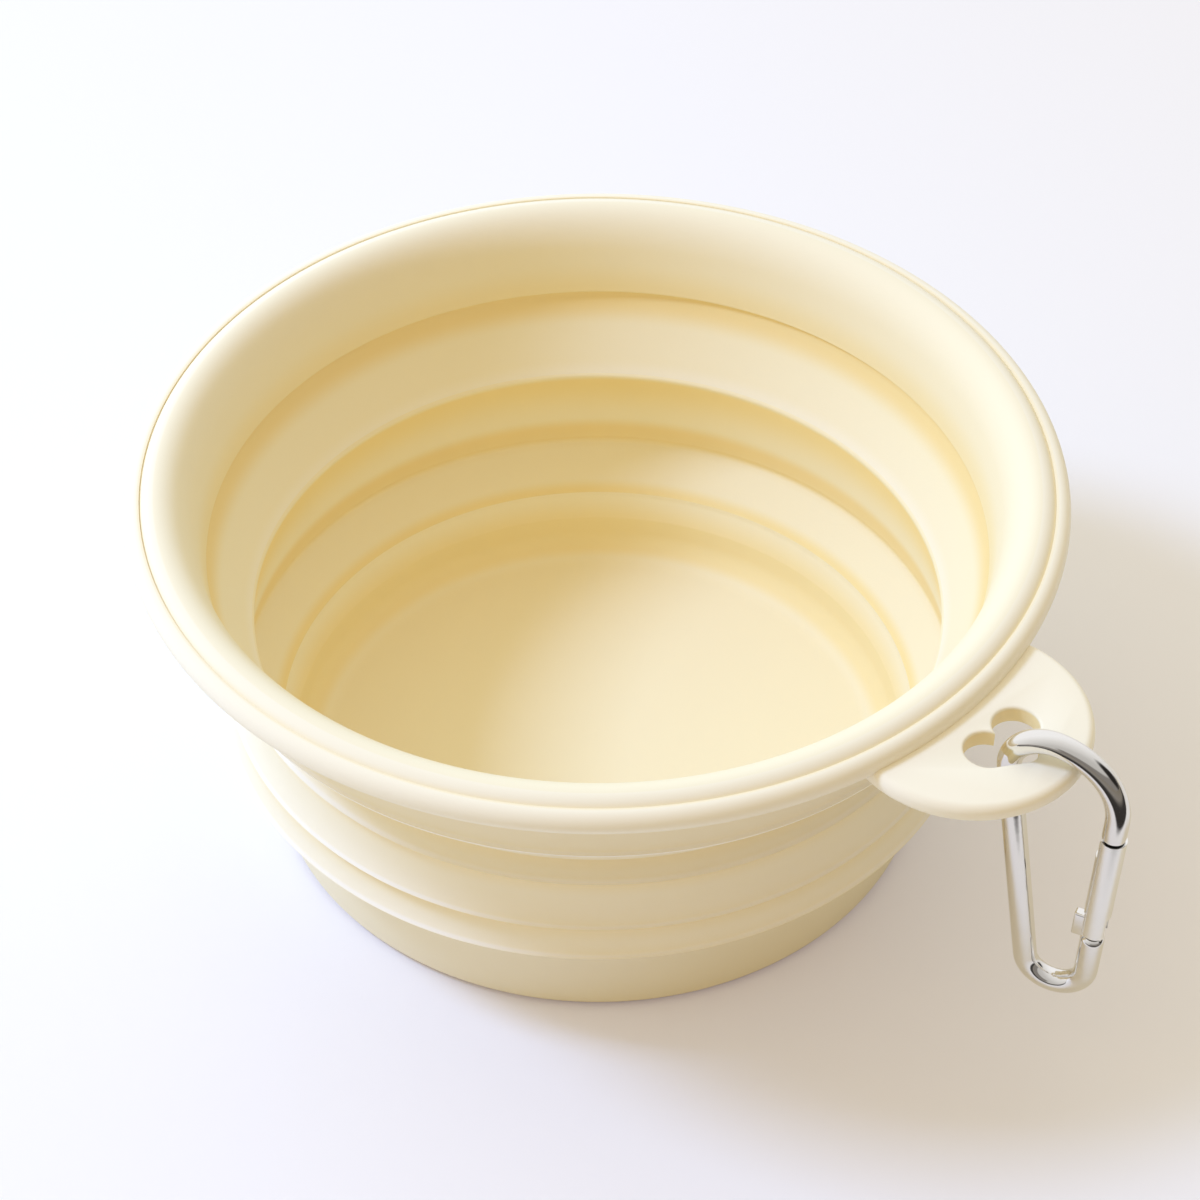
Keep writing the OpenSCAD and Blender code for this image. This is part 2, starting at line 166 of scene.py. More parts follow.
WIRE_R, LOWER_ROUND, UPPER_ROUND = 1.6, 0.95, 0.14
HANG = Vector((GROOVE_R + 9.8, -0.9, TAB_TOP_Z - TAB_T / 2))
HOOK_TURN = math.radians(20.0)
SPINE_LEAN, GATE_LEAN = math.radians(9.2), math.radians(1.35)
SPINE_RUN, CORNER_DROP = 36.6, 1.7
BEND_R, CORNER_R, ARC_R = 4.25, 5.3, 10.4
GATE_R, GATE_LOW, GATE_HIGH = 1.8, 8.1, 26.4
NECK_GAP, END_GAP, PIN_DROP = 0.8, 0.32, 1.9
SHOULDER_LOW, SHOULDER_HIGH = GATE_LOW - NECK_GAP, GATE_HIGH + END_GAP
PIN_AT, PIN_R = GATE_HIGH - PIN_DROP, 0.55
TONGUE_T, TONGUE_BACK, TONGUE_FRONT, TONGUE_TAIL, TONGUE_ROOT = 1.4, 1.1, 0.9, 1.0, 0.6
NOSE_OUT, NOSE_BACK, NOSE_H, NOSE_ROOT = 1.1, 0.7 * GATE_R, 3.6, 0.4
NECK_FRONT, NECK_BACK, NECK_H, NECK_ROOT = 0.65 * GATE_R, 0.5 * GATE_R, 2.0, 1.2
SLEEVE_T, BORE_DEPTH = 0.36, 3.9
SLOT_W, SLOT_REACH, SLOT_DEPTH, NOTCH_H = 2.0, 2.4, 3.4, 4.5

hook_frame = (
    Matrix.Translation(HANG * MM)
    @ Matrix.Rotation(HOOK_TURN, 4, "Z")
    @ Matrix.Rotation(math.pi / 2, 4, "X")
)


def flat_point(x, y):
    """A point of the hook's own plane, x level and y up, in the bowl's frame in metres."""
    return hook_frame @ Vector((x * MM, y * MM, 0))


# The long arc meets the gate's line and the upper corner without a kink
bend_centre = Vector((
    SPINE_RUN * math.sin(SPINE_LEAN) + BEND_R * math.cos(SPINE_LEAN),
    BEND_R * math.sin(SPINE_LEAN) - SPINE_RUN * math.cos(SPINE_LEAN),
))
corner_centre = Vector((
    CORNER_DROP * math.sin(SPINE_LEAN) + CORNER_R * math.cos(SPINE_LEAN),
    CORNER_R * math.sin(SPINE_LEAN) - CORNER_DROP * math.cos(SPINE_LEAN),
))
gate_up = Vector((math.sin(GATE_LEAN), math.cos(GATE_LEAN)))
gate_out = Vector((math.cos(GATE_LEAN), -math.sin(GATE_LEAN)))
gate_foot = bend_centre + BEND_R * gate_out
gap = bend_centre - (ARC_R - BEND_R) * gate_out - corner_centre
gap_along = gap.dot(gate_up)
line_run = -gap_along - math.sqrt(gap_along ** 2 - gap.length_squared + (ARC_R - CORNER_R) ** 2)
arc_centre = corner_centre + gap + line_run * gate_up
join_turn = math.atan2(*(corner_centre - arc_centre).yx)

gate_frame = (
    hook_frame
    @ Matrix.Translation((gate_foot.x * MM, gate_foot.y * MM, 0))
    @ Matrix.Rotation(-GATE_LEAN, 4, "Z")
)
gate_way = gate_frame.to_3x3() @ Vector((0, 1, 0))
gate_side = gate_frame.to_3x3() @ Vector((0, 0, 1))


# Shader maths

class Wire:
    """A shader socket that Python's operators work on, each adding one Math node."""

    def __init__(self, finish, socket):
        self.finish, self.socket = finish, socket

    def __add__(self, other):
        return self.finish.math("ADD", self, other)

    def __mul__(self, other):
        return self.finish.math("MULTIPLY", self, other)

    def __sub__(self, other):
        return self.finish.math("SUBTRACT", self, other)

    def __rsub__(self, other):
        return self.finish.math("SUBTRACT", other, self)

    __radd__ = __add__
    __rmul__ = __mul__


class Finish:
    """One material: a Principled shader and the nodes that feed it."""

    def __init__(self, name, colour, roughness, **constants):
        self.material = bpy.data.materials.new(name)
        self.material.use_nodes = True
        self.tree = self.material.node_tree
        self.shader = self.tree.nodes["Principled BSDF"]
        self.place = self.node("ShaderNodeTexCoord", out="Object")
        self.paint(Base_Color=colour, Roughness=roughness, **constants)

    def node(self, kind, settings=None, inputs=None, out=0):
        """Adds any node: its settings first, then a value or a link for each named input."""
        made = self.tree.nodes.new(kind)
        for key, value in (settings or {}).items():
            if key == "stops":
                self.fill_ramp(made.color_ramp, value)
            else:
                setattr(made, key, value)
        for key, value in (inputs or {}).items():
            self.feed(made.inputs[key], value)
        return Wire(self, made.outputs[out])

    def fill_ramp(self, ramp, stops):
        """Gives a colour ramp its stops, each a position and a colour."""
        while len(ramp.elements) < len(stops):
            ramp.elements.new(1)
        for element, (position, colour) in zip(ramp.elements, stops):
            element.position, element.color = position, (*colour, 1)

    def feed(self, socket, value):
        """Links a wire to a socket, or sets a plain value there."""
        if isinstance(value, Wire):
            self.tree.links.new(value.socket, socket)
        elif socket.type == "RGBA":
            socket.default_value = (*value, 1)
        else:
            socket.default_value = value

    def paint(self, **inputs):
        """Feeds the shader's own inputs, with low lines for the blanks in their names."""
        for key, value in inputs.items():
            self.feed(self.shader.inputs[key.replace("_", " ")], value)

    def math(self, operation, *values):
        """Any sum of single numbers that a Math node can do."""
        return self.node("ShaderNodeMath", {"operation": operation}, dict(enumerate(values)))

    def vectors(self, operation, *values):
        """A sum or product of vectors; a dot product and a length give a number."""
        out = "Value" if operation in ("DOT_PRODUCT", "LENGTH") else "Vector"
        return self.node("ShaderNodeVectorMath", {"operation": operation}, dict(enumerate(values)), out)

    def is_ray(self, kind):
        """1 for rays of a kind, such as Camera or Glossy, and 0 for the others."""
        return self.node("ShaderNodeLightPath", out=f"Is {kind} Ray")

    def axis(self, name):
        """One of the place's three coordinates, in millimetres."""
        return PER_MM * self.node("ShaderNodeSeparateXYZ", inputs={"Vector": self.place}, out=name)

    def radius(self, x=0.0):
        """Distance from the bowl's axis, or from an upright line at x, in millimetres."""
        across, along = self.axis("X") - x, self.axis("Y")
        return self.math("SQRT", across * across + along * along)

    def noise(self, size, detail=3.0):
        """Cloudy noise from 0 to 1 whose features are about so many millimetres across."""
        inputs = {"Vector": self.place, "Scale": 1 / (size * MM), "Detail": detail, "Roughness": 0.55}
        return self.node("ShaderNodeTexNoise", inputs=inputs, out="Fac")

    def fade(self, value, start, end):
        """0 where value is at start, 1 at end, smooth between them."""
        inputs = {"Value": value, "From Min": start, "From Max": end}
        return self.node("ShaderNodeMapRange", {"interpolation_type": "SMOOTHSTEP"}, inputs, "Result")

    def mix(self, share, first, second):
        """The first colour where share is 0, the second where it is 1."""
        made = self.tree.nodes.new("ShaderNodeMix")
        made.data_type = "RGBA"
        sockets = [s for s in made.inputs if s.enabled]
        for socket, value in zip(sockets, (share, first, second)):
            self.feed(socket, value)
        return Wire(self, next(s for s in made.outputs if s.enabled))

    def bump(self, height, distance):
        """Feeds the shader's normal with a height from 0 to 1, worth so many millimetres."""
        self.paint(Normal=self.node("ShaderNodeBump", inputs={"Height": height, "Distance": distance * MM}))


# Finishes

PALE = (0.955, 0.91, 0.78)
CREAM = (0.94, 0.88, 0.70)
# Deeper yellow of the inner faces: painted shade and glow of the bowl's hollow
INNER_SHADE = (0.94, 0.862, 0.63)
# Honey: painted glow of light through thin walls, and painted shade in folds, grooves, under lips and in
# the hole
HONEY_GLOW_SHADE = (0.925, 0.755, 0.36)
# Amber: deeper painted shade and glow just below the hinge lines and at the band's foot
AMBER_SHADE = (0.90, 0.70, 0.30)
GREYED = (0.90, 0.84, 0.66)
# Near-white lines along the lips outside: painted highlight
EDGE = (0.975, 0.955, 0.91)
# Brown along the base's foot: painted contact shadow
FOOT_SHADOW = (0.60, 0.46, 0.28)
WIRE_STEEL = (0.86, 0.85, 0.84)
GATE_STEEL = (0.92, 0.92, 0.92)
RIVET_STEEL = (0.80, 0.80, 0.80)
# Dark of the gate's bore, slots and neck and round the tongue: painted shade
RECESS_SHADE = (0.10, 0.095, 0.09)
CLOUD_SHARE = 0.12

# Where the base's tones change: radii and heights where a tone starts and where it is full; up the inner
# wall the tone is painted shade, along the foot a painted contact shadow
OUTER_SIDE = (46.8, 47.6)
INNER_SIDE, INNER_RISE = (41.5, 43.5), (11.2, 7.0)
FOOT_SHADOW_SIDE, FOOT_SHADOW_RISE = (44.0, 44.5), (1.2, 0.6)

# The honey of painted glow and shade in the ring's groove and inside the heart-shaped hole, with their
# shares
GROOVE_SIDE, GROOVE_SHARE = (GROOVE_R + 0.55, GROOVE_R + 0.15), 0.3
HOLE_X, HOLE_SIDE, HOLE_SHARE = HEART_X + 1.2, (7.6, 7.2), 0.75
HOLE_TOP, HOLE_FOOT = (TAB_TOP_Z - 0.15, TAB_TOP_Z - 0.6), (TAB_LOW_Z + 0.1, TAB_LOW_Z + 0.3)


def soft_grain(finish, tone):
    """The fine matte grain of a moulding: faint clouds in the tone, and a close grain in the gloss."""
    clouds = finish.noise(17.0)
    grain = finish.noise(0.32, detail=2.0)
    clouded = finish.mix(CLOUD_SHARE * clouds, tone, GREYED)
    finish.paint(Base_Color=clouded, Roughness=0.47 + 0.09 * clouds + 0.06 * grain)
    finish.bump(grain + 0.6 * clouds, 0.012)
    return finish.material


def soft_wall(name, lines, limit_r, lean, lean_z, stored=False):
    """Cream silicone with lines of other tones, most of them painted glow, shade or highlight, such as
    honey where the wall is thin.

    Each line holds a side, a height, how far it fades upwards and downwards, its tone and its share.
    The sides part at limit_r, which grows by lean for every millimetre of height above lean_z.
    A stored place is the resting one, for the panels that change shape.
    """
    finish = Finish(name, CREAM, 0.5, Specular_IOR_Level=0.4)
    if stored:
        finish.place = finish.node("ShaderNodeAttribute", {"attribute_name": "rest"}, out="Vector")
    height = finish.axis("Z")
    limit = limit_r + lean * (height - lean_z)
    inside = finish.fade(finish.radius() - limit, 0.2, -0.2)
    sides = {"in": inside, "out": 1 - inside}
    # Inner faces take the deeper yellow, as painted shade of the hollow
    tone = finish.mix(inside, CREAM, INNER_SHADE)
    # The lines paint glow, shade and highlights, and a few paler tones, over the silicone's tone
    for side, level, above, below, line_tone, share in lines:
        upper = finish.fade(height, level + above, level)
        lower = finish.fade(height, level - below, level)
        tone = finish.mix(upper * lower * sides[side] * share, tone, line_tone)
    return soft_grain(finish, tone)


def hard_shell(name):
    """Satin moulded plastic of the rim ring and its tab, honey-coloured in its groove and its hole as
    painted glow and shade.
    """
    finish = Finish(name, PALE, 0.38, Specular_IOR_Level=0.45)
    height = finish.axis("Z")
    # Painted glow and shade in honey: the ring's groove and the walls of the heart's hole
    groove = finish.fade(finish.radius(), *GROOVE_SIDE)
    hole = finish.fade(finish.radius(HOLE_X), *HOLE_SIDE)
    hole = hole * finish.fade(height, *HOLE_TOP) * finish.fade(height, *HOLE_FOOT)
    clouds = finish.noise(23.0)
    grain = finish.noise(0.45, detail=2.0)
    scuffs = finish.fade(finish.noise(5.0, detail=5.0), 0.60, 0.78)
    tone = finish.mix(CLOUD_SHARE * clouds, PALE, CREAM)
    tone = finish.mix(finish.math("MAXIMUM", GROOVE_SHARE * groove, HOLE_SHARE * hole), tone, HONEY_GLOW_SHADE)
    finish.paint(Base_Color=tone, Roughness=0.36 + 0.08 * clouds + 0.08 * scuffs)
    finish.bump(grain + 0.4 * clouds, 0.008)
    return finish.material


def base_shell(name):
    """The base's greyer moulding, honey-coloured up its inner wall as painted shade, with a painted brown
    contact shadow along its foot.
    """
    finish = Finish(name, GREYED, 0.5, Specular_IOR_Level=0.4)
    height, radius = finish.axis("Z"), finish.radius()
    outside = finish.fade(radius, *OUTER_SIDE)
    # Painted shade and glow up the inner wall, and a painted contact shadow along the foot
    inner_wall = finish.fade(radius, *INNER_SIDE) * finish.fade(height, *INNER_RISE)
    foot_shadow = finish.fade(radius, *FOOT_SHADOW_SIDE) * finish.fade(height, *FOOT_SHADOW_RISE)
    tone = finish.mix(outside, finish.mix(0.7 * inner_wall, INNER_SHADE, HONEY_GLOW_SHADE), GREYED)
    return soft_grain(finish, finish.mix(0.75 * foot_shadow, tone, FOOT_SHADOW))


def plating(name, roughness, colour, recesses=()):
    """Polished plating with the faint ripple and hairlines of a bent wire.

    A recess is a start on the gate's line, a radius round that line and a run along it;
    what lies inside it is dull and painted dark, as shade.
    """
    finish = Finish(name, colour, roughness, Metallic=1.0)
    ripple = finish.noise(2.6, detail=2.0)
    stretch = {"Vector": finish.place, "Scale": (1, 1, 9)}
    stretched = finish.node("ShaderNodeMapping", {"vector_type": "TEXTURE"}, stretch)
    fine = {"Vector": stretched, "Scale": 6000.0, "Detail": 2.0}
    hairs = finish.node("ShaderNodeTexNoise", inputs=fine, out="Fac")
    tone = finish.mix(ripple * 0.35, colour, tuple(0.9 * c for c in colour))
    gloss = roughness + 0.05 * hairs + 0.03 * ripple
    for start, radius, run in recesses:
        offset = finish.vectors("SUBTRACT", finish.place, gate_frame @ Vector((0, start * MM, 0)))
        along = PER_MM * finish.vectors("DOT_PRODUCT", offset, gate_way)
        away = PER_MM * finish.vectors("LENGTH", finish.vectors("CROSS_PRODUCT", offset, gate_way))
        ends = finish.fade(along, -0.1, 0.1) * finish.fade(along, run + 0.1, run - 0.1)
        # Inside a recess the plating is painted dark as shade
        shaded = ends * finish.fade(away, radius, radius - 0.06)
        tone = finish.mix(shaded, tone, RECESS_SHADE)
        gloss = gloss + 0.35 * shaded
    finish.paint(Base_Color=tone, Roughness=gloss)
    finish.bump(ripple + 0.15 * hairs, 0.012)
    return finish.material


# Modelling by hand

def deselect():
    """Leaves edit mode and selects nothing."""
    if bpy.context.object and bpy.context.object.mode != "OBJECT":
        bpy.ops.object.mode_set(mode="OBJECT")
    bpy.ops.object.select_all(action="DESELECT")


def edit_mesh():
    """The active piece in edit mode, as a bmesh to choose vertices, edges and faces in."""
    return bmesh.from_edit_mesh(bpy.context.object.data)


def choose(kind, test):
    """Selects the vertices, edges or faces of the piece being edited that pass a test, and counts them."""
    mesh = edit_mesh()
    bpy.ops.mesh.select_mode(type={"verts": "VERT", "edges": "EDGE", "faces": "FACE"}[kind])
    bpy.ops.mesh.select_all(action="DESELECT")
    chosen = [part for part in getattr(mesh, kind) if test(part)]
    for part in chosen:
        part.select_set(True)
    mesh.select_flush_mode()
    bmesh.update_edit_mesh(bpy.context.object.data)
    return len(chosen)


def bevel_edges(width, segments):
    """Rounds the selected edges of the piece being edited."""
    bpy.ops.mesh.bevel(offset=width * MM, segments=segments, affect="EDGES")


def set_down(matrix=None):
    """Puts the active object where a matrix says, and applies its place, turn and size to its mesh."""
    piece = bpy.context.object
    if matrix is not None:
        piece.matrix_world = matrix
    bpy.ops.object.transform_apply(location=True, rotation=True, scale=True)
    return piece


def edit_all():
    """Goes to edit mode with everything selected."""
    bpy.ops.object.mode_set(mode="EDIT")
    bpy.ops.mesh.select_all(action="SELECT")


def close_solid():
    """Welds the piece being edited, points its faces outwards and leaves edit mode."""
    bpy.ops.mesh.select_mode(type="VERT")
    bpy.ops.mesh.select_all(action="SELECT")
    bpy.ops.mesh.remove_doubles(threshold=WELD * MM)
    bpy.ops.mesh.normals_make_consistent(inside=False)
    bpy.ops.object.mode_set(mode="OBJECT")
    return bpy.context.object


def finish_piece(name, material, smooth_angle=32.0):
    """Closes the piece, smooths it, names it and stores each vertex's resting place."""
    close_solid()
    piece = set_down()
    bpy.ops.object.shade_smooth_by_angle(angle=math.radians(smooth_angle))
    piece.name = piece.data.name = name
    piece.data.materials.clear()
    piece.data.materials.append(material)
    rest = piece.data.attributes.new("rest", "FLOAT_VECTOR", "POINT")
    for spot, vertex in zip(rest.data, piece.data.vertices):
        spot.vector = vertex.co
    deselect()
    return piece


def combine(target, other, operation):
    """Joins another solid to the target, or cuts it away, and deletes it."""
    deselect()
    target.select_set(True)
    bpy.context.view_layer.objects.active = target
    change = target.modifiers.new(operation.lower(), "BOOLEAN")
    change.operation, change.object, change.solver = operation, other, "MANIFOLD"
    bpy.ops.object.modifier_apply(modifier=change.name)
    bpy.data.objects.remove(other)


# Turned sections

def arc(centre, radius, start, end, steps):
    """Plain corners along an arc, its angles in degrees."""
    x, z = centre
    turns = [math.radians(start + (end - start) * k / steps) for k in range(steps + 1)]
    return [(x + radius * math.cos(a), z + radius * math.sin(a), 0) for a in turns]


def flare(start, lip, steps):
    """Plain corners from a start down to a lip, steep at first, turning outwards and ending in a hem."""
    (r0, z0), (r2, z2) = start, lip
    r1, z1 = r0 + FLARE_SHARE * (r2 - r0), z2 + FLARE_SHARE * (z0 - z2)
    shares = [k / steps for k in range(steps + 1)]
    curve = [(
        (1 - t) ** 2 * r0 + 2 * t * (1 - t) * r1 + t * t * r2,
        (1 - t) ** 2 * z0 + 2 * t * (1 - t) * z1 + t * t * z2, 0,
    ) for t in shares]
    return [*curve, (r2 + HEM, z2 - HEM_FALL * HEM, 0)]


def draw_section(corners):
    """Draws a closed section in the XZ plane, one (radius, height, rounding) corner after the other."""
    deselect()
    bpy.ops.mesh.primitive_plane_add(size=MM, location=(0, 0, 0))
    bpy.ops.object.mode_set(mode="EDIT")
    bpy.ops.mesh.select_mode(type="VERT")
    bpy.ops.mesh.select_all(action="SELECT")
    bpy.ops.mesh.merge(type="CENTER")
    at = Vector((0, 0, 0))
    for k, (r, z, _) in enumerate(corners):
        step = Vector((r * MM, 0, z * MM)) - at
        if k:
            bpy.ops.mesh.extrude_region_move(TRANSFORM_OT_translate={"value": step})
        else:
            bpy.ops.transform.translate(value=step)
        at = at + step
    bpy.ops.mesh.select_all(action="SELECT")
    bpy.ops.mesh.edge_face_add()
    for r, z, rounding in corners:
        if rounding:
            place = Vector((r * MM, 0, z * MM))
            choose("verts", lambda v: (v.co - place).length < SAME * MM)
            bpy.ops.mesh.bevel(offset=rounding * MM, segments=5, affect="VERTICES")
    bpy.ops.mesh.select_all(action="SELECT")
    bpy.ops.mesh.delete(type="ONLY_FACE")


def turn_section():
    """Spins the drawn section once round the bowl's axis, and opens it along the axis first."""
    if choose("edges", lambda e: all(abs(v.co.x) < SAME * MM for v in e.verts)):
        bpy.ops.mesh.delete(type="EDGE")
    bpy.ops.mesh.select_mode(type="VERT")
    bpy.ops.mesh.select_all(action="SELECT")
    bpy.ops.mesh.spin(steps=TURN_STEPS, angle=FULL_TURN, center=(0, 0, 0), axis=(0, 0, 1))


def turned(name, corners, material, cuts=0):
    """A piece turned from its section; cuts divides lines over 3 mm long, so that it can bend."""
    draw_section(corners)
    if cuts and choose("edges", lambda e: e.calc_length() > 3 * MM):
        bpy.ops.mesh.subdivide(number_cuts=cuts)
    turn_section()
    return finish_piece(name, material)


# The bowl's pieces

def crown_and_skirt():
    """Soft crown rolled over the hard ring, the rim wall inside it and the skirt below."""
    lean_run, lean_rise = (ROLL_X - CREASE_R) / CROWN_W, (CROWN_LOW_Z - CREASE_Z) / CROWN_H
    crown_turn = math.asin(1 / math.hypot(lean_run, lean_rise)) + math.atan2(lean_rise, lean_run)
    turns = [crown_turn * k / CROWN_STEPS for k in range(CROWN_STEPS, 0, -1)]
    side_r = GROOVE_R + CROWN_LAP
    brow = math.degrees(math.acos((side_r - ROLL_X) / ROLL_R))
    seat_r = GROOVE_R - LEDGE_W - SEAT_GAP
    seat_z = RING_LOW_Z + LEDGE_H + SEAT_GAP
    lip_z = CREASE_Z - LIP_DROP
    waist_r = SKIRT_R - WAIST_IN
    inner_r = SKIRT_R - SKIRT_T
    corners = [
        (CREASE_R, lip_z, 0.22),
        *((ROLL_X - CROWN_W * math.sin(a), CROWN_LOW_Z + CROWN_H * math.cos(a), 0) for a in turns),
        *arc((ROLL_X, ROLL_Z), ROLL_R, 90, brow, ROLL_STEPS),
        (side_r, seat_z, 0),
        (seat_r, seat_z, 0),
        (seat_r, RING_LOW_Z - UNDER_DROP, 0.4),
        (waist_r, CREASE_Z + WAIST_UP, 1.2),
        *flare((waist_r, CREASE_Z - WAIST_DOWN), (SKIRT_R - HEM, SKIRT_Z + SKIRT_LIP_H), 6),
        (SKIRT_R - 0.1, SKIRT_Z, 0),
        (inner_r, SKIRT_Z, 0.3),
        (inner_r + SKIRT_TAPER, lip_z, 0.2),
    ]
    # Painted light and shade: the inner tone and honey glow round the crease, a lighter band above the
    # skirt's lip with a painted highlight along it, and honey shade beside the groove
    lines = [
        ("out", CREASE_Z, 6.0, 1.0, INNER_SHADE, 0.8),
        ("in", CROWN_TOP_Z, 9.0, 16.0, CREAM, 0.95),
        ("in", CREASE_Z, 5.0, 2.0, HONEY_GLOW_SHADE, 0.45),
        ("out", SKIRT_Z + 0.5, 2.4, 1.0, PALE, 0.7),
        ("out", SKIRT_Z + 0.45, 0.3, 1.0, EDGE, 0.9),
        ("out", ROLL_Z + 2.6, 4.0, 6.0, PALE, 0.9),
        ("out", ROLL_Z + 1.5, 0.8, 3.0, HONEY_GLOW_SHADE, 0.3),
    ]
    material = soft_wall("crown_silicone", lines, limit_r=CREASE_R + 1.0, lean=0.42, lean_z=CREASE_Z)
    piece = turned("crown_and_skirt", corners, material)
    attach(piece, "rim")
    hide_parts("rim_crown")


def upper_fold_panel():
    """Upper fold: a thin hinge line tucked behind the rim wall's lip, then the sloping panel."""
    hinge_r = CREASE_R + UPPER_HINGE_OUT
    hinge_out_r = hinge_r + UPPER_HINGE_T
    panel_z = CREASE_Z - UPPER_HINGE_H
    corners = [
        (hinge_r, CREASE_Z, 0),
        (hinge_r, panel_z + 0.9, 0.3),
        (CREASE_R, panel_z, 0.5),
        (BAND_TOP_R + LIP_IN, BAND_TOP_Z, 0),
        (BAND_TOP_R + FOLD_W, BAND_TOP_Z, 0),
        (hinge_out_r, panel_z + 0.1, 0.4),
        (hinge_out_r, CREASE_Z, 0),
    ]
    # Painted light and shade: amber shade below the hinge line inside, a painted highlight on the panel's
    # lower lip, and honey glow on the thin fold outside
    lines = [
        ("in", BAND_TOP_Z + 2.5, 9.0, 9.0, CREAM, 0.5),
        ("in", CREASE_Z - 2.2, 9.0, 3.2, AMBER_SHADE, 0.8),
        ("in", BAND_TOP_Z, 2.2, 1.4, PALE, 0.8),
        ("out", CREASE_Z - 2.0, 0.3, 9.0, HONEY_GLOW_SHADE, 0.85),
    ]
    material = soft_wall(
        "upper_fold_silicone", lines, limit_r=(BAND_TOP_R + hinge_r) / 2 + 1.0,
        lean=(hinge_r - BAND_TOP_R) / (CREASE_Z - BAND_TOP_Z), lean_z=(CREASE_Z + BAND_TOP_Z) / 2,
        stored=True,
    )
    piece = turned("upper_fold_panel", corners, material, cuts=14)
    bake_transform(piece)
    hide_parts("upper_fold")


def middle_band_wall():
    """Middle band: a wall that leans out downwards, with three lapped lips outside."""
    lip_in_r = LIP_R - BAND_LIP_T
    corners = [
        (BAND_TOP_R + LIP_IN, BAND_TOP_Z, 0),
        (BAND_TOP_R, BAND_TOP_Z - 0.4, 0.3),
        (BAND_LOW_R, BAND_LOW_Z, 0.5),
        (BAND_END_R, BAND_END_Z, 0),
        (lip_in_r, BAND_END_Z, 0.1),
        (lip_in_r, LIP_Z, 0.3),
        (LIP_R - 0.1, LIP_Z, 0.06),
        *reversed(flare((RIB_R - STEP_D, RIB_Z - STEP_H), (LIP_R - HEM, LIP_Z + 0.3), 8)),
        *reversed(flare((RIDGE_R - STEP_D, RIDGE_Z - STEP_H), (RIB_R - HEM, RIB_Z), 8)),
        *reversed(flare((BAND_TOP_R + FOLD_W, BAND_TOP_Z), (RIDGE_R - HEM, RIDGE_Z), 8)),
    ]
    lips = [(LIP_Z + 0.3, RIB_Z - LIP_Z), (RIB_Z, RIDGE_Z - RIB_Z), (RIDGE_Z, BAND_TOP_Z - RIDGE_Z)]
    # Painted light and shade: honey shade under the top edge inside and glow outside, amber shade at the
    # band's foot, and outside each lip a lighter band, a painted highlight along it and honey shade below
    # it
    lines = [
        ("in", BAND_TOP_Z - 1.4, 1.0, 9.0, HONEY_GLOW_SHADE, 0.95),
        ("out", BAND_TOP_Z, 1.0, 2.7, HONEY_GLOW_SHADE, 0.5),
        ("in", BAND_LOW_Z - 0.2, 2.8, 9.0, AMBER_SHADE, 0.75),
        *(("out", z, 0.55 * run, 0.2, PALE, 0.7) for z, run in lips),
        *(("out", z - 0.2, 0.1, 3.6, HONEY_GLOW_SHADE, 0.5) for z, _ in lips[1:]),
        *(("out", z, 0.35, 0.25, EDGE, 0.95) for z, _ in lips),
    ]
    material = soft_wall("band_silicone", lines, limit_r=BAND_LOW_R + 0.9, lean=-0.17, lean_z=BAND_LOW_Z)
    piece = turned("middle_band_wall", corners, material)
    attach(piece, "middle")
    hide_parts("middle_band")


def lower_fold_panel():
    """Lower fold: the thin hinge line under the band, then the sloping panel down to the base."""
    hinge_r, hinge_z = BAND_END_R + LOWER_HINGE_OUT, BAND_END_Z - LOWER_HINGE_H
    corners = [
        (BAND_END_R, BAND_END_Z, 0),
        (hinge_r, hinge_z, 0.5),
        (CUP_TOP_R, CUP_TOP_Z, 0),
        (CUP_TOP_R + FOLD_W, CUP_TOP_Z, 0),
        (hinge_r + LOWER_HINGE_T, hinge_z - 0.5, 0.5),
        (BAND_END_R + 1.0, BAND_END_Z, 0),
    ]
    # Painted shade and glow: amber under the band, and honey in the groove above the cup
    lines = [
        ("in", BAND_END_Z + 0.2, 1.0, 2.6, AMBER_SHADE, 0.75),
        ("in", CUP_TOP_Z + 0.2, 1.5, 1.0, HONEY_GLOW_SHADE, 0.9),
    ]
    material = soft_wall(
        "lower_fold_silicone", lines, limit_r=(CUP_TOP_R + hinge_r) / 2 + 1.0,
        lean=(hinge_r - CUP_TOP_R) / (BAND_END_Z - CUP_TOP_Z), lean_z=(CUP_TOP_Z + BAND_END_Z) / 2,
        stored=True,
    )
    piece = turned("lower_fold_panel", corners, material, cuts=10)
    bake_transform(piece)
    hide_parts("lower_fold")


def base_cup_moulding():
    """Base cup: a flat floor, a rounded corner, a nearly upright wall and a sloping upper strip."""
    corners = [
        (0, 0, 0),
        (CUP_R - FOOT_IN - 1.0, 0, 0.35),
        (CUP_R - FOOT_IN, FOOT_CHAMFER, 0.35),
        (CUP_R, CUP_TOP_Z, 0.4),
        (CUP_TOP_R, CUP_TOP_Z, 0),
        (CUP_TOP_R - 0.1, CUP_TOP_Z - 0.7, 0.3),
        (CUP_CREASE_R, CUP_CREASE_Z, 0.25),
        (SIDE_R, SIDE_Z, 1.4),
        (FLOOR_R, FLOOR_Z, 1.6),
        (0, FLOOR_Z, 0),
    ]
    piece = turned("base_cup_moulding", corners, base_shell("base_plastic"))
    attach(piece, "base")
    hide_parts("base_cup")


# Hard ring and tab

